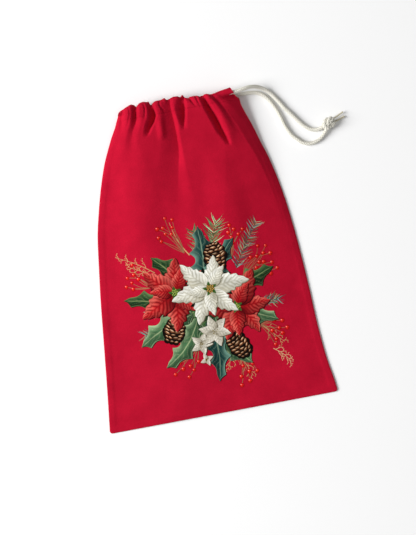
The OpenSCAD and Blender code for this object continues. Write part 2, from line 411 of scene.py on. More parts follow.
def knot_paths():
    """Two strands side by side through an overhand knot, with its middle at the origin."""
    ring, coil, apart = 4.5, 3.1, 0.62
    paths = []
    for shift in (-apart, apart):
        t = np.linspace(0.16, 4 * np.pi - 0.16, 150)
        phase = 1.5 * t + shift
        reach = ring + coil * np.cos(phase)
        paths.append(np.stack([reach * np.sin(t), -reach * np.cos(t), coil * np.sin(phase)], axis=1))
    return paths


def placed(points, turns, place):
    """Points turned about X, then Y, then Z, and moved."""
    p = np.asarray(points, float)
    for axis, angle in enumerate(turns):
        a, b = (axis + 1) % 3, (axis + 2) % 3
        c, s = math.cos(angle), math.sin(angle)
        q = p.copy()
        q[:, a] = c * p[:, a] - s * p[:, b]
        q[:, b] = s * p[:, a] + c * p[:, b]
        p = q
    return p + np.array(place)


def braid_piece(name, braids):
    """One piece out of several braids, with their painted shade on its points."""
    points, faces = joined([made[:2] for made in braids])
    painted_shades = np.concatenate([made[2] for made in braids])
    return new_piece(name, points, faces, colours=np.repeat(painted_shades[:, None], 3, axis=1))


def build_cords():
    cream = cord_material("cream_cord", (1.0, 0.98, 0.88), (0.94, 0.9, 0.77), True)
    dipped = cord_material("dipped_end", (0.62, 0.57, 0.42), (0.42, 0.37, 0.25), False)
    for name, route in (("upper_tail", UPPER_ROUTE), ("lower_tail", LOWER_ROUTE)):
        path = spline(route, 1.0)
        piece = braid_piece(f"{name}_braid", [braid(path, CORD_D)])
        piece.data.materials.append(cream)
        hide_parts(name)
        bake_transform(piece)
    knot = braid_piece("knot_braid", [braid(placed(p, KNOT_TILT, (0, 0, 0)) * (1, 1, KNOT_FLAT) + KNOT,
                                            KNOT_STRAND_D, rings_per_mm=2.2) for p in knot_paths()])
    knot.data.materials.append(cream)
    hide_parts("knot")
    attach(knot, "tails")
    tips = [build_tip("upper_tip", (208.5, 140.5, 7.0), (223.0, 147.5, 3.0), dipped),
            build_tip("lower_tip", (209.5, 136.5, 6.0), (224.0, 141.5, 2.2), dipped)]
    build_run(cream)


def build_tip(name, start, end, material):
    """A twisted cord end stiffened with a dip, which leaves a small bead at its end."""
    path = spline([start, (np.array(start) + np.array(end)) / 2 + (0, 0, -0.6), end], 0.4)
    share = np.linspace(0, 1, len(path))
    bead = 0.55 * smooth_step(0.86, 0.95, share)
    radius = 1.05 + 0.12 * np.cos(2 * np.pi * share * 9) - 0.2 * share + bead
    radius *= np.sqrt(np.clip((1 - share) * 18, 0.02, 1))
    piece = new_piece(f"{name}_dipped", *tube(path, radius, 12))
    piece.data.materials.append(material)
    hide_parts(name)
    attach(piece, "tails")
    return piece


def build_run(material):
    """The cord inside the casing: in along the front, round the left end and out along the back."""
    bend = np.linspace(0, np.pi, 24)
    middle = (np.array([TURN_X, RUN_Y["front"], RUN_Z["front"]]) + (TURN_X, RUN_Y["back"], RUN_Z["back"])) / 2
    half = np.array([0, RUN_Y["front"] - RUN_Y["back"], RUN_Z["front"] - RUN_Z["back"]]) / 2
    arc = [middle + half * math.cos(a) - np.array([np.linalg.norm(half), 0, 0]) * math.sin(a) for a in bend]
    path = [(EXIT_X - 1, RUN_Y["front"], RUN_Z["front"]), *arc, (EXIT_X - 1, RUN_Y["back"], RUN_Z["back"])]
    piece = braid_piece("drawcord_run_braid", [braid(resample(path, 1.0), RUN_D, rings_per_mm=1.0, sides=6)])
    piece.data.materials.append(material)
    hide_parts("drawcord_run")
    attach(piece, "drawcord")


# ---------------------------------------------------------------- cloth

BOTTOM_Y = -206.0
HEM_Y = 186.0
CLOTH_T = 0.35
CORNER_R = 4.0
ALLOWANCE_W = 9.0
# Distances from an edge of the cloth at which its first rows or columns of points lie.
NEAR_EDGE = np.array([0, 0.25, 0.7, 1.3, 2.1, 3.2, 4.8, 6.5, 8.0, 9.2, 10.6, 12.5])

LEFT = smooth_line([(-206, -150), (-158, -144), (-97, -137), (-35, -130), (6, -124.5), (47, -118.5),
    (77, -111.5), (107, -103), (137, -92.5), (166, -78.5), (186, -67.5), (206, -61)])
RIGHT = smooth_line([(-206, 150), (-193, 148.6), (-160, 143.5), (-117, 140), (-64, 138), (-11, 135),
    (42, 130), (75, 125), (108, 117.8), (130, 111), (152, 104.6), (175, 96.6), (181, 94.9), (184, 94.6),
    (188.5, 94), (190.5, 91.2), (206, 84)])
# Height of the front along its middle, and of the side seams, at each place along the sack.
CROWN = smooth_line([(-206, 2.2), (-200, 3), (-188, 4.2), (-165, 5.9), (-130, 7.9), (-60, 11), (0, 13),
    (60, 14.8), (110, 16.4), (150, 20), (174, 23), (186, 24.4), (206, 25.5)])
SEAM = smooth_line([(-206, 1.3), (60, 1.3), (110, 2.2), (150, 5.5), (174, 9.5), (186, 11)])
LEFT_ROUND = smooth_line([(-206, 104), (-100, 108), (0, 92), (60, 84), (110, 66), (150, 46), (174, 28),
    (186, 20)])
RIGHT_ROUND = smooth_line([(-206, 210), (-120, 180), (-60, 125), (0, 100), (60, 78), (110, 56), (150, 40),
    (174, 34), (186, 34)])
# A narrow face along the right seam, steeper than the cloth beside it: its width and its share of the rise.
FACE_WIDTH = smooth_line([(-206, 9), (-60, 10), (0, 11), (60, 12.5), (110, 15), (150, 18), (186, 22)])
FACE_SHARE = smooth_line([(-206, 0.04), (-60, 0.06), (0, 0.12), (60, 0.24), (110, 0.42), (150, 0.5),
    (186, 0.5)])

# Folds of the front, from the mouth down. Each point gives its place along the sack, its place across it,
# its depth, how far it reaches on its left and on its right, and how soft it is.
FOLDS = [
    [(206, -56, 3, 3, 5, 0.2), (189, -59, 2.8, 4, 6, 0.3), (176, -63, 0.8, 4, 6, 1), (166, -68, 0, 4, 6, 1)],
    [(206, -38, 7, 8, 5.5, 0), (192, -39.5, 7.2, 8, 6, 0.1), (182, -42, 5.4, 9, 8, 0.3),
     (170, -48, 2.6, 9, 9, 0.7), (146, -56, 0, 10, 10, 1)],
    [(206, -19, 7.4, 8, 4.5, 0), (196, -17, 8.4, 9, 4.5, 0), (187, -15.5, 9.6, 11, 3.6, 0),
     (179, -18.5, 9.6, 12, 3.2, 0), (170, -25.5, 6.2, 9, 3.6, 0.1), (161, -31, 0, 6, 5, 0.5)],
    [(206, 7, 3, 10, 5, 0.2), (192, 5.5, 4.2, 14, 5, 0.2), (175, 6.5, 5.6, 19, 5, 0.2),
     (155, 7, 5.8, 22, 4, 0.15), (138, 6, 5.2, 25, 5, 0.3), (113, 1, 4.2, 32, 11, 0.6),
     (82, -6, 3.2, 38, 20, 0.9), (50, -14, 2.3, 42, 28, 1), (10, -20, 1.2, 42, 34, 1),
     (-40, -24, 0, 40, 40, 1)],
    [(206, 25.5, 7, 8, 4.5, 0), (195, 23.5, 8, 12, 4.5, 0), (187, 22.8, 8.8, 13.5, 4.2, 0),
     (178, 21, 8, 10.5, 4.2, 0), (170, 19, 4.6, 7, 4.5, 0.2), (161, 17, 0, 4, 6, 0.6)],
    [(206, 30, 3, 3, 5, 0.2), (197, 32.5, 2.4, 3, 5, 0.3), (186, 38, 0, 3, 5, 0.6)],
    [(206, 48, 7.4, 7, 4.5, 0), (197, 50, 8.2, 8, 5, 0), (184, 55, 9.6, 10, 5, 0),
     (169, 61, 10.4, 10.5, 5, 0), (153, 65.5, 9.2, 10, 4.6, 0), (141, 69, 5.2, 7, 4.2, 0.2),
     (131, 71.5, 0, 5, 4, 0.5)],
    [(206, 60, 4.2, 5, 10, 0), (196, 62, 4.2, 6, 11, 0.1), (187, 68, 3.4, 6, 12, 0.3),
     (175, 75, 2, 7, 12, 0.7), (155, 84, 1, 8, 14, 1), (130, 94, 0, 8, 14, 1)],
    [(206, -65, 0, 3, 3, 1), (200, -64, 0.9, 2.4, 3, 0.6), (190, -67, 1.2, 2.6, 3.4, 0.6),
     (179, -72, 0, 3, 4, 1)],
    [(206, -48, 0.5, 2.6, 3, 0.6), (196, -47, 1.1, 2.6, 3, 0.5), (186, -50, 0.9, 3, 3.4, 0.7),
     (176, -55, 0, 3, 4, 1)],
    [(206, -28.5, 0.9, 2.4, 3, 0.5), (197, -27, 1.4, 2.4, 3, 0.4), (189, -28.5, 0.9, 3, 3, 0.7),
     (182, -31, 0, 3, 4, 1)],
    [(206, -6, 0.6, 2.4, 3, 0.6), (198, -8, 1.5, 2.2, 3, 0.4), (191, -5, 0.9, 2.6, 3, 0.7),
     (184, -3, 0, 3, 4, 1)],
    [(206, 38, 1, 2.4, 3, 0.5), (198, 40, 1.5, 2.4, 3, 0.4), (189, 42.5, 0.7, 3, 3, 0.8),
     (182, 45, 0, 3, 4, 1)],
]
# Low ridges of the front: crests that stand up beside the folds.
RIDGES = [
    [(190, 62, 0.6, 5, 7, 1), (170, 68.5, 1.4, 5, 8, 1), (150, 73.5, 1.3, 5, 9, 1),
     (138, 74.5, 0.7, 5, 9, 1), (124, 76, 0, 6, 9, 1)],
    [(146, -50, 0, 16, 24, 1), (120, -59, 1.8, 22, 32, 1), (85, -66, 3, 36, 38, 1),
     (40, -68, 3.2, 44, 40, 1), (0, -64, 2, 48, 42, 1), (-50, -60, 0, 50, 44, 1)],
    [(184, -10, 0.8, 8, 7, 1), (172, -11, 2.2, 8, 7, 1), (162, -11.5, 2.2, 8, 7, 1), (152, -13, 0, 8, 8, 1)],
    [(178, -52, 0, 10, 8, 1), (150, -66, 1.2, 14, 14, 1), (120, -76, 0.6, 18, 18, 1),
     (90, -82, 0, 20, 20, 1)],
    [(140, 44, 0, 20, 20, 1), (110, 52, 1.4, 26, 24, 1), (60, 56, 2.4, 34, 30, 1),
     (10, 57, 2.4, 40, 36, 1), (-60, 60, 1.6, 44, 44, 1), (-150, 62, 0, 44, 44, 1)],
]


def fold_shape(gap, reach, soft, hard):
    """1 in the fold and 0 beyond its reach. A soft fold is a wave, and hard is the shape of a hard one."""
    u = np.clip(gap / reach, 0, 1)
    return (1 - soft) * hard(u) + soft * (0.5 + 0.5 * np.cos(np.pi * u))


def flat_wall(u):
    """Side of a fold that drops at an even slope, and is round only at its top."""
    return (1 - u) ** 1.35


def round_wall(u):
    """Side of a fold where the cloth rolls over like a tube."""
    return 1 - np.sqrt(u * (2 - u))


def fold_lines(points):
    """Functions of the place along the sack: a fold's place across, depth, two reaches and softness."""
    return [smooth_line([(p[0], p[k]) for p in points]) for k in range(1, 6)]


FOLD_LINES = [fold_lines(points) for points in FOLDS]
RIDGE_LINES = [fold_lines(points) for points in RIDGES]


def line_depth(lines, x, y):
    place, depth, left, right, soft = (line(y) for line in lines)
    return depth * np.where(x < place, fold_shape(place - x, left, soft, flat_wall),
                            fold_shape(x - place, right, soft, round_wall))


def shoulder(distance, reach, soft):
    """Rises from 0 at a seam to 1 at its reach, more steeply at the seam where soft is small."""
    u = np.clip(distance / reach, 0, 1)
    return (1 - soft) * np.sqrt(u * (2 - u)) + soft * u * u * (3 - 2 * u)


def corner_cut(y):
    """How far the rounded bottom corners draw each side edge in."""
    d = np.clip(CORNER_R - (y - BOTTOM_Y), 0, CORNER_R)
    return CORNER_R - np.sqrt(CORNER_R ** 2 - d ** 2)


def left_edge(y):
    return LEFT(y) + corner_cut(y)


def right_edge(y):
    return RIGHT(y) - corner_cut(y)


def ripple(x, y):
    """Slight waves that any cloth keeps, from a few crossing sines."""
    waves = ((0.045, 0.021, 0.4, 0.5), (-0.031, 0.052, 1.9, 0.4), (0.083, -0.037, 4.0, 0.22),
             (0.02, 0.11, 2.2, 0.16), (0.13, 0.06, 5.1, 0.1), (-0.11, 0.13, 0.7, 0.08))
    return sum(size * np.sin(a * x + b * y + shift) for a, b, shift, size in waves)


def back_z(x, y):
    inside = np.minimum(x - left_edge(y), right_edge(y) - x)
    z = 0.3 + (SEAM(y) - 0.3) * (1 - shoulder(inside, 4 + SEAM(y), 0.2))
    gather = smooth_step(90, 186, y)
    creases = 0.5 + 0.5 * np.sin(x * 0.42 + 2.0 * np.sin(x * 0.11)) * np.cos(0.02 * y)
    return z + gather * 1.3 * creases * smooth_step(2, 12, inside)


def fold_relief(x, y):
    """How far the folds of the front draw it down, less the ridges beside them."""
    calm = smooth_step(0, 7, np.minimum(x - left_edge(y), right_edge(y) - x))
    return calm * (sum(line_depth(lines, x, y) for lines in FOLD_LINES)
                   - sum(line_depth(lines, x, y) for lines in RIDGE_LINES))


def front_z(x, y):
    left, right, seam = left_edge(y), right_edge(y), SEAM(y)
    inside = np.minimum(np.minimum(x - left, right - x), y - BOTTOM_Y)
    tight = 1 - smooth_step(40, 170, y)
    slope = 1 - (1 - np.clip((right - x) / RIGHT_ROUND(y), 0, 1)) ** 1.3
    face = 1 - (1 - np.clip((right - x) / FACE_WIDTH(y), 0, 1)) ** 1.15
    slope = FACE_SHARE(y) * face + (1 - FACE_SHARE(y)) * slope
    rise = shoulder(x - left, LEFT_ROUND(y), 0.4 + 0.45 * tight) * slope
    z = seam + (CROWN(y) - seam) * rise
    z -= fold_relief(x, y)
    z += 0.55 * smooth_step(0, 30, inside) * ripple(x, y)
    welt = shoulder(inside, 2.2, 0) - 0.45 * smooth_step(ALLOWANCE_W - 2, ALLOWANCE_W + 1.5, inside)
    return np.maximum(z + 0.9 * welt * (1 - smooth_step(120, 180, y)), back_z(x, y) + CLOTH_T)


def edge_steps(length, spacing):
    """Places from one seam to the other, close together near the seams."""
    edge = NEAR_EDGE[-1]
    count = int((length - 2 * edge) / spacing)
    return np.concatenate([NEAR_EDGE, np.linspace(edge, length - edge, count + 1)[1:-1],
                           (length - NEAR_EDGE)[::-1]])


def panel_rows():
    return np.concatenate([BOTTOM_Y + NEAR_EDGE, np.arange(BOTTOM_Y + 14.5, 60, 2.4),
                           np.arange(60, HEM_Y - 0.6, 1.3), [HEM_Y]])


SACK_W = 300
PANEL_STEPS = edge_steps(SACK_W, 1.25)


def row_places(left, right):
    """Places across the sack between two seams, the same number in every row."""
    edge = NEAR_EDGE[-1]
    near = np.minimum(PANEL_STEPS, edge)
    far = np.minimum(SACK_W - PANEL_STEPS, edge)
    share = np.clip((PANEL_STEPS - edge) / (SACK_W - 2 * edge), 0, 1)
    return left + near + (edge - far) + share * (right - left - 2 * edge)


def panel_grid():
    rows = panel_rows()
    y = np.repeat(rows[:, None], len(PANEL_STEPS), axis=1)
    return row_places(left_edge(rows)[:, None], right_edge(rows)[:, None]), y


def cloth_uv(x, y):
    """Millimetres along the weft and the warp, measured over the folds."""
    return np.stack([x * 1.15, y * 1.02], axis=-1)


def finish_cloth(piece, slot, *nodes):
    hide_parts(*nodes)
    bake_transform(piece)


def build_panels(cotton):
    x, y = panel_grid()
    for side, z in (("front", front_z(x, y)), ("back", back_z(x, y))):
        piece = new_piece(f"{side}_panel_cloth", np.stack([x, y, z], axis=-1).reshape(-1, 3),
                          grid_faces(*x.shape, flip=side == "back"), uv=cloth_uv(x, y).reshape(-1, 2))
        piece.data.materials.append(cotton)
        finish_cloth(piece, "red_cotton", f"{side}_panel")


# ---------------------------------------------------------------- casing

# Height of the middle of the casing's fold, and half the height of the fold.
CASING_MID_Z = 11.0
CASING_R = 7.0
# Share of the casing's width that goes round its left end.
TURN_SHARE = 0.075
FOLD_RIGHT_X = 84.0
# How far the casing sinks where the cord comes out.
TAB_DROP = 3.0
# Places of the rows of points of a casing's skin, from its hem at 0 to the fold at 1.
SECTION = np.array([0, 0.04, 0.09, 0.15, 0.22, 0.3, 0.38, 0.46, 0.54, 0.62, 0.7, 0.77, 0.83, 0.885, 0.93,
                    0.96, 0.98, 0.993, 1.0])
# The wavy top edge of the sack, where the gathered casing folds over.
TOP_EDGE = smooth_line([(-60, 200.2), (-56, 201.2), (-50, 203.6), (-44, 205.6), (-40, 204.2), (-38, 201.6),
    (-36, 203.2), (-33, 205.4), (-28, 206.2), (-23, 205), (-21.6, 205.6), (-19, 200.4), (-16, 202.4),
    (-12, 204.2), (-5, 204.4), (-0.5, 205.8), (2.5, 203), (6, 203.8), (11, 205.4), (16, 205), (20, 203.4),
    (22.6, 205.8), (26, 201.4), (29, 200.2), (33, 201.6), (40, 201.4), (45, 199.6), (48, 200.2),
    (53, 201.2), (57, 200), (60, 199.4), (64, 200), (72, 201.8), (78, 202.8), (84, 203.8)])


def casing_skin(front, outer, v):
    """Points of one skin of the casing: rows along v, one column for each column of the panel."""
    sign = 1 if front else -1
    hem_x = row_places(left_edge(HEM_Y), right_edge(HEM_Y))[None, :]
    u = (hem_x - hem_x[:, :1]) / (hem_x[:, -1:] - hem_x[:, :1])
    v = np.asarray(v, float)[:, None]
    angle = 0.5 * np.pi * (1 - np.clip(u / TURN_SHARE, 0, 1))
    side = np.sin(angle)
    fold_x = TURN_X - (CASING_R - 0.2) * side + np.clip((u - TURN_SHARE) / (1 - TURN_SHARE), 0, 1) * (
        FOLD_RIGHT_X - TURN_X)
    fold_z = CASING_MID_Z + sign * CASING_R * np.cos(angle)
    fold_y = TOP_EDGE(fold_x) - (0 if front else 1.5) * smooth_step(0, 0.2, u)
    y = HEM_Y + v * (fold_y - HEM_Y)
    x = hem_x + v * (fold_x - hem_x)
    x = x + smooth_step(0.93, 1, u) * (right_edge(y) - (hem_x[:, -1:] + v * (fold_x[:, -1:] - hem_x[:, -1:])))
    relief = fold_relief(x, y) if front else 0 * x
    hem_z = front_z(hem_x, HEM_Y) + fold_relief(hem_x, HEM_Y) if front else back_z(hem_x, HEM_Y)
    hem_z = hem_z - (0 if outer else 0.9 * sign * np.cos(angle))
    hem_gap = 0 if outer else 0.9 * side
    if front and outer:
        roll = 1 - np.sqrt(1 - v ** 3.2)
        drop = TAB_DROP * smooth_step(58, 80, x) * smooth_step(0, 0.4, v)
        top = hem_z + 3.4 * (1 - (1 - v) ** 2) * (1 - side) - drop
        z = top + roll * (fold_z - top)
    else:
        z = hem_z + v * (fold_z - hem_z)
    bulge = smooth_step(0, 0.45, v) ** 0.8 * np.sqrt(1 - v ** 3)
    if outer:
        reach = (0 if front else 1.6) * (1 - side) + 0.3 * side
        direction = 1
    else:
        reach = (4.0 if front else 5.2) * (1 - side) + 6.0 * side
        direction = -1
    x = x - direction * side * reach * bulge + hem_gap
    z = z + direction * sign * np.cos(angle) * reach * bulge
    keep = 1 - 0.5 * smooth_step(0.75, 1, v)
    z = z - relief * (keep if outer else np.maximum(1 - 2 * v, 0) + 0.55 * smooth_step(0.7, 1, v))
    if front and outer:
        # Pulled back, the wider tail fills the last 25 mm of the casing and lies nearer its fold.
        tail = smooth_step(56, 64, x)
        end = smooth_step(70, 80, x)
        over = 0.5 * RUN_D + 0.6 + 1.2 * tail + 0.4 * end
        gap = np.abs(y - RUN_Y["front"] - 0.7 * tail - 1.3 * end)
        cord = RUN_Z["front"] + np.sqrt(np.maximum(over ** 2 - gap ** 2, 0))
        z = np.where(gap < over, np.maximum(z, cord), z)
    return np.stack(np.broadcast_arrays(x, y, z), axis=-1)


def build_casings(cotton):
    turn = int(np.searchsorted(PANEL_STEPS / SACK_W, TURN_SHARE))
    skins = {}
    for front in (True, False):
        outer = casing_skin(front, True, SECTION)
        inner = casing_skin(front, False, SECTION[::-1])
        skins[front] = np.concatenate([outer, inner[1:]])
    round_end = np.concatenate([skins[False][:, turn:0:-1], skins[True][:, :turn + 1]], axis=1)
    whole = {"front_casing": (skins[True][:, turn:], False), "back_casing": (skins[False][:, turn:], True),
             "casing_turn": (round_end, False)}
    for name, (points, flip) in whole.items():
        rows, columns = points.shape[:2]
        flat = points.reshape(-1, 3)
        across = np.tile(np.arange(columns) * 1.25, rows)
        along = np.repeat(np.arange(rows) * 1.15, columns)
        piece = new_piece(f"{name}_cloth", flat, grid_faces(rows, columns, flip=flip),
                          uv=np.stack([across, along], axis=1))
        piece.data.materials.append(cotton)
        finish_cloth(piece, "red_cotton", name)


# ---------------------------------------------------------------- seams and stitches

STITCH_PITCH = 3.0
STITCH_L = 2.2
STITCH_R = 0.2


def stitches(line, lift):
    """Short threads along a line, each with its two ends drawn into the cloth. lift is outwards."""
    fine = resample(line, 0.1)
    walked = np.linspace(0, 1, len(fine)) * (len(fine) - 1) * 0.1
    parts = []
    for start in np.arange(1.0, walked[-1] - STITCH_L, STITCH_PITCH):
        at = start + np.linspace(0, STITCH_L, 7)
        middle = np.stack([np.interp(at, walked, fine[:, k]) for k in range(3)], axis=1)
        rise = np.sin(np.pi * np.linspace(0, 1, 7)) * 0.32 - 0.2
        parts.append(tube(middle + rise[:, None] * np.array(lift), STITCH_R, 6))
    return joined(parts)


def build_stitches(thread):
    for name, front in (("front_hem_stitches", True), ("back_hem_stitches", False)):
        line = casing_skin(front, True, [0.07])[0]
        piece = new_piece(f"{name}_thread", *stitches(line[4:-4], (0, 0, 1 if front else -1)))
        piece.data.materials.append(thread)
        finish_cloth(piece, "red_thread", name)
    tack = []
    for k in range(8):
        x = right_edge(HEM_Y) - 2.4
        y = HEM_Y + 0.4 + 0.36 * k
        z = front_z(np.array(x), np.array(HEM_Y)) + 0.35 + 0.15 * (k % 2)
        tack.append(tube([(x - 1.6, y, z - 0.3), (x - 0.6, y + 0.1, z), (x + 0.8, y + 0.25, z - 0.1),
                          (x + 1.8, y + 0.3, z - 0.7)], 0.24, 6))
    piece = new_piece("exit_bar_tack_thread", *joined(tack))
    piece.data.materials.append(thread)
    finish_cloth(piece, "red_thread", "exit_bar_tack")


def seam_strip(side):
    """Points of the two raw cloth edges that are turned inside along one seam."""
    if side == "bottom":
        x = np.linspace(-138, 138, 140)[None, :]
        y = BOTTOM_Y + np.linspace(1.6, ALLOWANCE_W - 1, 6)[:, None]
        x, y = np.broadcast_arrays(x, y)
    else:
        rows = np.linspace(BOTTOM_Y + 11, HEM_Y - 1, 180)
        inset = np.linspace(1.6, ALLOWANCE_W - 1, 6)[:, None]
        edge = left_edge(rows) + inset if side == "left" else right_edge(rows) - inset
        x, y = np.broadcast_arrays(edge, rows[None, :])
    z = back_z(x, y) + 0.25
    z = z + 0.08 * np.sin(0.35 * x + 0.4 * y)
    return np.stack([x, y, z], axis=-1)


def build_seams(cotton, thread):
    for side in ("left", "right", "bottom"):
        strip = seam_strip(side)
        rows, columns = strip.shape[:2]
        piece = new_piece(f"{side}_allowance_cloth", strip.reshape(-1, 3),
                          grid_faces(rows, columns, flip=side == "left"),
                          uv=(strip[..., :2]).reshape(-1, 2))
        piece.data.materials.append(cotton)
        edge, inner = strip[-1], strip[-3]
        line = resample(edge, 0.5)
        base = resample(inner, 0.5)
        base = base[np.minimum(np.arange(len(line)), len(base) - 1)]
        swing = (0.5 + 0.5 * np.cos(np.pi * np.arange(len(line)) * 0.5 / 1.5))[:, None]
        path = base + swing * (line - base) + (0, 0, 0.14)
        loops = new_piece(f"{side}_overlock_thread", *tube(path, 0.12, 5))
        loops.data.materials.append(thread)
        finish_cloth(piece, "red_cotton", f"{side}_seam_allowance")
        finish_cloth(loops, "red_thread", f"{side}_seam_thread")


# ---------------------------------------------------------------- print

# Gap under the lowest layer of ink, step from layer to layer, and shift of the painted shadows.
INK_GAP = 0.06
INK_LAYER = 0.003
SHADOW_SHIFT = (0.8, -0.8)
VEINS_UNEVEN = 0.6
HOLLY_SPINES = 4
BERRY_R = 2.9
draw = np.random.default_rng(20)


class Ink:
    """Flat painted shapes, each laid over the ones before it, starting from a given layer."""

    def __init__(self, layer):
        self.points, self.faces, self.colours, self.layer, self.count = [], [], [], layer, 0

    def add(self, xy, faces, colours, lift=True):
        """One shape: its points on the cloth, its faces and a colour for each point."""
        xy = np.asarray(xy, float)
        self.layer += 1 if lift else 0
        z = front_z(xy[:, 0], xy[:, 1]) + INK_GAP + INK_LAYER * self.layer
        self.points.append(np.column_stack([xy, z]))
        self.faces += [tuple(i + self.count for i in face) for face in faces]
        self.count += len(xy)
        self.colours.append(np.clip(np.broadcast_to(colours, (len(xy), 3)), 0, 1))


def paint(*rgb):
    """Linear colour from display values of 0 to 255."""
    return (np.array(rgb, float) / 255) ** 2.2


def heading(angle):
    return np.array([math.cos(angle), math.sin(angle)])


def mix(a, b, share):
    share = np.asarray(share, float)[..., None]
    return a * (1 - share) + b * share


def lane(base, tip, bend, count):
    """Points along a slightly bent line, and the unit vector across it at each."""
    base, tip = np.array(base, float), np.array(tip, float)
    t = np.linspace(0, 1, count)[:, None]
    chord = tip - base
    across = np.array([-chord[1], chord[0]])
    line = base + t * chord + bend * np.sin(np.pi * t) * across
    along = unit(np.gradient(line, axis=0))
    return line, np.stack([-along[:, 1], along[:, 0]], axis=1)


def leaf(ink, base, tip, bend, edges, tone, rows=56, columns=25, lift=True):
    """A leaf or petal. edges gives its half widths and tone its colours, at the shares along and across."""
    line, across = lane(base, tip, bend, rows)
    t = np.linspace(0, 1, rows)
    s = np.linspace(-1, 1, columns)
    left, right = edges(t)
    reach = np.where(s[None, :] < 0, left[:, None], right[:, None])
    sweep = np.abs(s)[None, :] ** 2 * 0.06 * np.linalg.norm(np.subtract(tip, base))
    along = np.stack([across[:, 1], -across[:, 0]], axis=1)
    back = sweep[..., None] * along[:, None] * np.sin(np.pi * t)[:, None, None]
    xy = line[:, None] + (s[None, :] * reach)[..., None] * across[:, None] - back
    grid_t, grid_s = np.meshgrid(t, s, indexing="ij")
    ink.add(xy.reshape(-1, 2), grid_faces(rows, columns), tone(grid_t, grid_s).reshape(-1, 3), lift)


def shaded_leaf(ink, base, tip, bend, edges, tone, shade, rows=56, columns=25):
    """A leaf over its own painted shadow, which shows along one side of it."""
    leaf(ink, np.add(base, SHADOW_SHIFT), np.add(tip, SHADOW_SHIFT), bend, edges,
         lambda t, s: np.broadcast_to(shade, t.shape + (3,)), rows, columns)
    leaf(ink, base, tip, bend, edges, tone, rows, columns)


def veins(t, s, count, slant, width):
    """Up to 1 on the side veins of a leaf, which run outwards and towards its tip. No two are alike."""
    size = np.abs(s)
    wave = (t - slant * size ** 1.3) * count + 0.22 * np.sign(s)
    index = np.round(wave)
    gap = np.abs(wave - index + 0.12 * np.sin(5 * size + 2 * index))
    strength = 1 - VEINS_UNEVEN * (0.5 + 0.5 * np.sin(12.9 * index + 4.1 * np.sign(s) + 37 * count))
    ends = smooth_step(0.02, 0.12, size) * smooth_step(1, 0.7, size)
    return strength * np.clip(1 - gap / width, 0, 1) * ends


def wash(t, s):
    """Uneven pigment, as in a watercolour."""
    a, b, c = draw.uniform(0, 6.3, 3)
    return (0.5 * np.sin(7 * t + 3 * s + a) + 0.3 * np.sin(17 * t - 6 * s + b)
            + 0.2 * np.sin(31 * t + 13 * s + c))


def petal_edges(width, teeth, start):
    def edges(t):
        shape = np.sin(np.pi * t ** 0.86) ** 0.8 * (1 - 0.28 * t)
        sides = []
        for shift in (0.0, 0.4):
            saw = (t * teeth + shift) % 1
            saw = np.where(saw < 0.8, saw / 0.8, (1 - saw) / 0.2)
            cut = 0.34 * (saw - 0.55) * smooth_step(start, start + 0.15, t)
            sides.append(width * shape * (1 + cut) + 0.01)
        return sides
    return edges


def bract_tone(dark, body, light, vein, lit_side, count=8):
    def tone(t, s):
        side = s * lit_side
        colour = mix(body, light, smooth_step(0.2, 1, side) * 0.6)
        colour = mix(colour, dark, smooth_step(0.15, -0.8, side) * 0.6 + 0.4 * smooth_step(0.5, 0, t))
        between = veins(t + 0.5 / count, s, count, 0.3, 0.42) * (0.3 + 0.35 * smooth_step(-0.4, 0.8, side))
        colour = mix(colour, light, between * smooth_step(0.15, 0.6, t))
        colour = mix(colour, vein, veins(t, s, count, 0.3, 0.3) * 0.95)
        colour = mix(colour, vein, smooth_step(0.11, 0.02, np.abs(s)) * (1 - t) * 0.95)
        colour = mix(colour, dark, smooth_step(0.9, 1.0, np.abs(s)) * 0.75)
        return colour * (1 + 0.2 * wash(t, s))[..., None]
    return tone


RED_TONES = (paint(78, 0, 14), paint(196, 24, 34), paint(255, 128, 112), paint(88, 0, 12))
WHITE_TONES = (paint(166, 160, 136), paint(240, 238, 224), paint(255, 255, 248), paint(158, 152, 128))
GREY_WHITE_TONES = (paint(150, 142, 122), paint(222, 216, 200), paint(252, 248, 236), paint(148, 140, 118))
GREENS = {
    "dark": (paint(10, 28, 16), paint(36, 70, 40), paint(112, 146, 92), paint(150, 164, 108)),
    "teal": (paint(8, 30, 32), paint(30, 68, 64), paint(122, 164, 146), paint(140, 168, 140)),
    "sage": (paint(26, 52, 36), paint(74, 112, 76), paint(172, 196, 150), paint(180, 194, 146)),
}


def bract_ring(start, count, reach):
    """Bracts as (angle in degrees, length), spread evenly round a flower with small random shifts."""
    return [(start + 360 / count * (k + draw.uniform(-0.16, 0.16)), reach * draw.uniform(0.88, 1.1))
            for k in draw.permutation(count)]


def poinsettia(ink, centre, bracts, tones, under, teeth, width):
    """Bracts as (angle in degrees, length), the lowest first, over short leaves in the under colour."""
    for k, (angle, length) in enumerate(bracts):
        a = math.radians(angle + 24)
        end = np.array(centre) + 0.66 * length * heading(a)
        leaf(ink, centre, end, 0.1, petal_edges(0.18 * length, teeth, 0.5),
             lambda t, s: mix(under * 0.4, under, t * np.abs(s)), 24, 11, k == 0)
    for k, (angle, length) in enumerate(bracts):
        a = math.radians(angle)
        out = heading(a)
        base = np.array(centre) + 2.5 * out
        tip = np.array(centre) + length * out
        bend = draw.uniform(-0.07, 0.07)
        lit = 1 if math.cos(a) > 0 else -1
        dark, body, light, vein = tones
        shade = 0.84 + 0.16 * (k / max(1, len(bracts) - 1))
        shaded_leaf(ink, base, tip, bend, petal_edges(width * length, teeth, 0.45),
                    bract_tone(dark, body * shade, light, vein, lit), dark * 0.5)


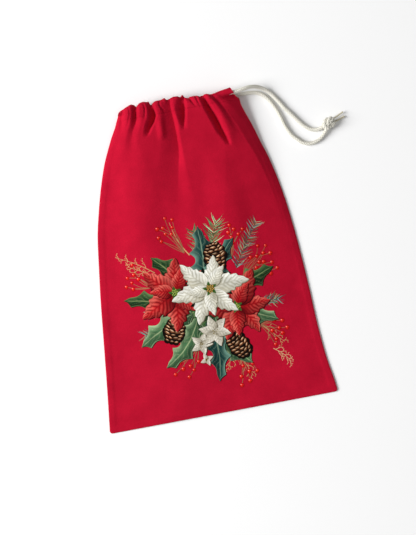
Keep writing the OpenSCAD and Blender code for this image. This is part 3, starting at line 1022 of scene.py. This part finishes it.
def holly_edges(width):
    def edges(t):
        body = np.sin(np.pi * np.clip(t, 0, 1) ** 0.9) ** 0.55 * (1 - 0.25 * t)
        cups = [np.abs(2 * ((HOLLY_SPINES * t + shift) % 1) - 1) ** 2.2 for shift in (0.06, 0.38)]
        tip = 1 - smooth_step(0.9, 1, t)
        return [width * body * (0.62 + 0.62 * cup) * (0.2 + 0.8 * tip) + 0.02 for cup in cups]
    return edges


def holly(ink, base, tip, width, tones, bend=0.05):
    dark, body, light, vein = tones
    lit = 1 if tip[0] > base[0] else -1

    def tone(t, s):
        side = s * lit
        colour = mix(body, light, smooth_step(0.25, 1.0, side) * 0.6)
        colour = mix(colour, dark, smooth_step(0.1, -0.7, side) * 0.6 + 0.4 * smooth_step(0.3, 0, t))
        colour = mix(colour, dark, veins(t + 0.5 / HOLLY_SPINES, s, 2 * HOLLY_SPINES, 0.25, 0.5) * 0.35)
        colour = mix(colour, light, smooth_step(0.8, 1, np.abs(s)) * 0.55)
        colour = mix(colour, vein, veins(t, s, 2 * HOLLY_SPINES, 0.28, 0.12) * 0.4)
        colour = mix(colour, vein, smooth_step(0.09, 0.0, np.abs(s)) * 0.75)
        return colour * (1 + 0.3 * wash(t, s))[..., None]
    shaded_leaf(ink, base, tip, bend, holly_edges(width), tone, dark * 0.4, 64, 23)


def ribbon(ink, points, widths, colour, lift=True):
    """A painted stroke along points."""
    line = np.asarray(points, float)
    along = np.gradient(line, axis=0)
    along /= np.linalg.norm(along, axis=1)[:, None] + 1e-9
    across = np.stack([-along[:, 1], along[:, 0]], axis=1)
    half = 0.5 * np.broadcast_to(widths, len(line))[:, None]
    xy = np.stack([line - half * across, line + half * across], axis=1).reshape(-1, 2)
    ink.add(xy, grid_faces(len(line), 2, flip=True), colour, lift)


def dot(ink, centre, radius, inner, outer, lift=True, squeeze=1.0, tilt=0.0, sides=14):
    """A painted spot, shaded from its middle to its edge."""
    turn = np.linspace(0, 2 * np.pi, sides, endpoint=False)
    xy = [np.array([[0.0, 0.0]])]
    colours = [inner[None, :]]
    for share in (0.55, 1.0):
        ring = share * radius * np.stack([np.cos(turn), squeeze * np.sin(turn)], axis=1)
        xy.append(ring @ np.array([[math.cos(tilt), math.sin(tilt)], [-math.sin(tilt), math.cos(tilt)]]))
        colours.append(np.tile(mix(inner, outer, share ** 2), (sides, 1)))
    faces = [(0, 1 + k, 1 + (k + 1) % sides) for k in range(sides)] + grid_faces(2, sides, True, 1, flip=True)
    ink.add(np.concatenate(xy) + np.array(centre), faces, np.concatenate(colours), lift)


def berries(ink, places, radii):
    """Round berries, each with a bright spot and its dark eye."""
    for share, shift, inner, outer in (
            (1.0, (0, 0), paint(234, 38, 32), paint(150, 6, 16)),
            (0.45, (-0.24, 0.28), paint(250, 74, 62), paint(238, 42, 36)),
            (0.17, (-0.36, 0.40), paint(255, 226, 214), paint(252, 120, 104)),
            (0.2, (0.34, -0.32), paint(30, 4, 6), paint(96, 8, 14))):
        ink.layer += 1
        for place, radius in zip(places, radii):
            dot(ink, np.add(place, np.multiply(shift, radius)), share * radius, inner, outer, lift=False)


def berry_sprig(ink, root, towards, spread, near, far, count):
    """Thin curved stems that fan out from one root between two distances, each with a berry at its end.

    towards is the middle of the fan and spread its reach to each side, in degrees.
    """
    stem = paint(168, 118, 84)
    ends = []
    for k in range(count):
        angle = math.radians(towards + spread * (2 * ((k * 0.618 + 0.3) % 1) - 1) + draw.uniform(-3, 3))
        reach = near + (far - near) * ((k + 0.5) / count) ** 0.7 + draw.uniform(-2, 2)
        ends.append(root + reach * heading(angle))
    for end in ends:
        line, _ = lane(root, end, draw.uniform(-0.16, 0.16), 12)
        ribbon(ink, line, np.linspace(0.8, 0.45, 12), mix(stem, stem * 0.6, draw.uniform(0, 0.6)), lift=False)
    berries(ink, ends, [BERRY_R * draw.uniform(0.85, 1.12) for _ in ends])


def fir(ink, base, tip, needle, tones, count=34):
    """A fir sprig: needles leave the stem at a slant and get shorter at its tip."""
    line, across = lane(base, tip, draw.uniform(-0.05, 0.05), count)
    ribbon(ink, line, np.linspace(1.3, 0.5, count), paint(94, 74, 52))
    for k in range(count):
        along = np.array([across[k][1], -across[k][0]])
        for side in (1, -1):
            for _ in range(2 if k % 2 else 1):
                slant = math.radians(draw.uniform(22, 62))
                length = needle * (1 - 0.3 * (k / count) ** 2) * draw.uniform(0.65, 1.2)
                out = math.cos(slant) * along + math.sin(slant) * side * across[k]
                tone = tones[draw.integers(len(tones))]
                start = line[k] + draw.uniform(-0.5, 0.5) * along
                bow = start + 0.55 * length * out + 0.05 * length * side * across[k]
                ribbon(ink, [start, bow, start + length * out], [0.72, 0.66, 0.14],
                       tone * draw.uniform(0.7, 1.5), lift=False)
        if k % 8 == 7:
            ink.layer += 1


def gold_twig(ink, base, tip, colour, count=9):
    line, across = lane(base, tip, draw.uniform(-0.08, 0.08), count * 2)
    ribbon(ink, line, np.linspace(1.0, 0.45, count * 2), colour * 0.85)
    for k in range(2, count * 2, 2):
        side = 1 if k % 4 else -1
        along = np.array([across[k][1], -across[k][0]])
        length = draw.uniform(8, 14) * (1 - 0.4 * k / (2 * count))
        out = along * draw.uniform(0.7, 1.0) + side * across[k] * draw.uniform(0.4, 0.8)
        end = line[k] + length * out / np.linalg.norm(out)
        branch, spread = lane(line[k], end, side * 0.1, 6)
        ribbon(ink, branch, np.linspace(0.7, 0.3, 6), colour * draw.uniform(0.8, 1.15), lift=False)
        for j in (2, 4):
            bud = branch[j] + spread[j] * 2.4 * (1 if j == 2 else -1) + (branch[j] - branch[j - 1])
            ribbon(ink, [branch[j], bud], [0.5, 0.35], colour * draw.uniform(0.8, 1.2), lift=False)
            dot(ink, bud, 0.5, colour * 1.2, colour * 0.9, lift=False, sides=7)
    ink.layer += 1


def cone(ink, centre, width, height, tilt):
    """A pine cone: rows of scales that overlap from its foot to its top."""
    turn = np.array([heading(tilt), heading(tilt + np.pi / 2)])
    dot(ink, centre, height / 2, paint(34, 18, 10), paint(26, 12, 8), squeeze=width / height,
        tilt=tilt + np.pi / 2, sides=28)
    rows = 8
    for row in range(rows):
        v = 1 - (row + 0.5) / rows
        half = 0.5 * width * math.sin(math.pi * (0.12 + 0.80 * v)) ** 0.6
        number = 4 - (row % 2)
        scales = []
        for k in range(number):
            u = (k + 0.5) / number * 2 - 1
            x = half * math.sin(1.35 * u) + draw.uniform(-0.5, 0.5)
            y = (v - 0.5) * height * 0.94 - 0.8 * (1 - u * u) + draw.uniform(-0.5, 0.5)
            size = 0.19 * width * (1 - 0.2 * abs(u)) * (0.7 + 0.5 * math.sin(math.pi * v))
            size *= draw.uniform(0.8, 1.15)
            place = np.array(centre) + np.array([x, y]) @ turn
            scales.append((place, size, tilt + 0.7 * u + draw.uniform(-0.25, 0.25), draw.uniform(0.4, 1.2)))
        for share, squeeze, lift, inner, outer in (
                (1.3, 0.86, -0.1, paint(24, 12, 8), paint(16, 8, 5)),
                (1.0, 0.42, 0.3, paint(142, 88, 54), paint(40, 20, 12)),
                (0.62, 0.24, 0.45, paint(255, 222, 182), paint(164, 104, 62))):
            ink.layer += 1
            for place, size, lean, shine in scales:
                dot(ink, place + lift * size * np.array([0, 1]) @ turn, share * size, inner * shine,
                    outer * shine, lift=False, squeeze=squeeze, tilt=lean, sides=12)


def blossom(ink, centre, reach, petals, start):
    for k in range(petals):
        a = start + 2 * math.pi * k / petals
        out = heading(a)
        shaded_leaf(ink, centre, np.array(centre) + reach * out, 0.02, petal_edges(0.34 * reach, 3, 0.7),
                    bract_tone(*GREY_WHITE_TONES, 1 if k % 2 else -1, count=5), paint(88, 78, 60), 28, 13)
    ink.layer += 1
    for _ in range(9):
        spot = np.array(centre) + draw.normal(0, 0.09 * reach, 2)
        dot(ink, spot, 0.7, paint(150, 130, 60), paint(80, 66, 24), lift=False, sides=8)


def stamens(ink, centre, reach, count, bright, dark):
    for k in range(5):
        a = k * 1.26 + 0.4
        out = heading(a)
        leaf(ink, centre, np.array(centre) + 1.9 * reach * out, 0.05,
             lambda t: [0.42 * reach * np.sin(np.pi * t) ** 0.8 + 0.02] * 2,
             lambda t, s: mix(paint(22, 52, 22), paint(70, 104, 48), t), 10, 5, k == 0)
    spots = []
    for k in range(count):
        r, a = reach * math.sqrt((k + 0.5) / count), 2.4 * k
        spot = np.array(centre) + r * heading(a)
        dot(ink, spot, 1.45, dark * 0.5, dark * 0.35, sides=9, lift=k == 0)
        spots.append(spot)
    for k, spot in enumerate(spots):
        dot(ink, spot, 1.0, bright, dark, sides=9, lift=k == 0)


def paint_sprigs(ink):
    """The back of the bouquet: twigs, fir and berries."""
    blue_green = [paint(60, 104, 104), paint(36, 72, 76), paint(120, 166, 160), paint(70, 104, 72),
                  paint(146, 160, 124)]
    leaf_green = [paint(84, 128, 84), paint(40, 84, 56), paint(166, 196, 152), paint(104, 140, 96)]
    twig = paint(204, 158, 110)
    gold_twig(ink, (-54, -12), (-100, 16), twig)
    gold_twig(ink, (-58, -16), (-88, 2), twig)
    gold_twig(ink, (28, -132), (46, -166), twig)
    gold_twig(ink, (22, -128), (16, -152), twig, 7)
    gold_twig(ink, (78, -136), (98, -157), paint(226, 182, 138))
    gold_twig(ink, (70, -104), (94, -130), twig, 8)
    stem, _ = lane((-6, 2), (-24, 48), 0.06, 14)
    ribbon(ink, stem, np.linspace(1.5, 0.5, 14), twig)
    for base, tip, needle, tones, count in (
            ((22, 4), (35, 38), 19, leaf_green, 19), ((8, -2), (4, 31), 15, leaf_green, 16),
            ((50, -25), (86, 28), 15, blue_green, 25), ((70, -76), (97, -74), 13, blue_green, 15),
            ((-48, -60), (-72, -62), 13, blue_green, 13), ((-44, -86), (-80, -89), 14, blue_green, 20)):
        fir(ink, base, tip, needle, tones, count)
    under = ink.layer
    for root, towards, spread, near, far, count in (
            ((-12, 6), 124, 24, 24, 50, 9), ((46, -10), 78, 20, 14, 42, 8), ((58, -34), 26, 34, 14, 46, 13),
            ((-62, -30), 152, 30, 16, 38, 7), ((66, -102), -24, 38, 14, 38, 8),
            ((-16, -112), 236, 26, 14, 50, 9), ((30, -130), -68, 26, 18, 46, 7)):
        ink.layer = under
        berry_sprig(ink, root, towards, spread, near, far, count)


# The holly leaves stand in an even ring round the middle of the bouquet. Angles are in degrees.
BOUQUET = np.array([2.0, -66.0])
LEAF_TONES = ("dark", "teal", "teal", "dark", "dark", "sage", "sage", "teal", "sage", "sage")
LEAF_START = 16
LEAF_REACH = 100
INNER_LEAVES = (190, 226, 262, 298)
INNER_REACH = 56


def paint_leaves(ink):
    """The middle of the bouquet: holly leaves and cones."""
    for angle in INNER_LEAVES:
        holly(ink, BOUQUET, BOUQUET + INNER_REACH * heading(math.radians(angle)), 17, GREENS["dark"])
    apart = 360 / len(LEAF_TONES)
    for k in draw.permutation(len(LEAF_TONES)):
        out = heading(math.radians(LEAF_START + apart * (k + draw.uniform(-0.18, 0.18))))
        reach = LEAF_REACH * draw.uniform(0.92, 1.08)
        holly(ink, BOUQUET + 0.2 * reach * out, BOUQUET + reach * out, draw.uniform(16, 20),
              GREENS[LEAF_TONES[k]], draw.uniform(-0.1, 0.1))
    under = ink.layer
    for centre, width, height, tilt in (
            ((26, -5), 24, 36, 6), ((-43, -90), 23, 34, -24), ((35, -123), 22, 38, 30)):
        ink.layer = under
        cone(ink, centre, width, height, math.radians(tilt))


def paint_flowers(ink):
    """The front of the bouquet: three large flowers and a few small ones."""
    for centre, start in (((-33, -42), 20), ((41, -74), 5)):
        bracts = bract_ring(start, 6, 50) + bract_ring(start + 30, 3, 35)
        poinsettia(ink, centre, bracts, RED_TONES, RED_TONES[0], 6, 0.32)
        stamens(ink, centre, 4.6, 15, paint(176, 200, 96), paint(84, 112, 44))
    bracts = bract_ring(12, 6, 48) + bract_ring(42, 3, 35)
    poinsettia(ink, (12, -45), bracts, WHITE_TONES, GREENS["dark"][0], 6, 0.27)
    stamens(ink, (12, -45), 5.2, 17, paint(216, 168, 92), paint(122, 104, 44))
    blossom(ink, (-9, -134), 9, 4, 0.3)
    blossom(ink, (-12, -113), 15, 5, 1.1)
    blossom(ink, (8, -100), 21, 6, 0.75)


def build_print():
    material = ink_material()
    layer = 0
    for name, painter in (("sprigs", paint_sprigs), ("leaves", paint_leaves), ("flowers", paint_flowers)):
        ink = Ink(layer)
        painter(ink)
        layer = ink.layer
        piece = new_piece(f"motif_{name}_ink", np.concatenate(ink.points), ink.faces,
                          colours=np.concatenate(ink.colours))
        piece.data.materials.append(material)
        finish_cloth(piece, "printed_motif", "motif_print")


build_camera()
build_cords()
cotton = cotton_material()
thread = thread_material()
build_panels(cotton)
build_casings(cotton)
build_stitches(thread)
build_seams(cotton, thread)
build_print()
build_studio()
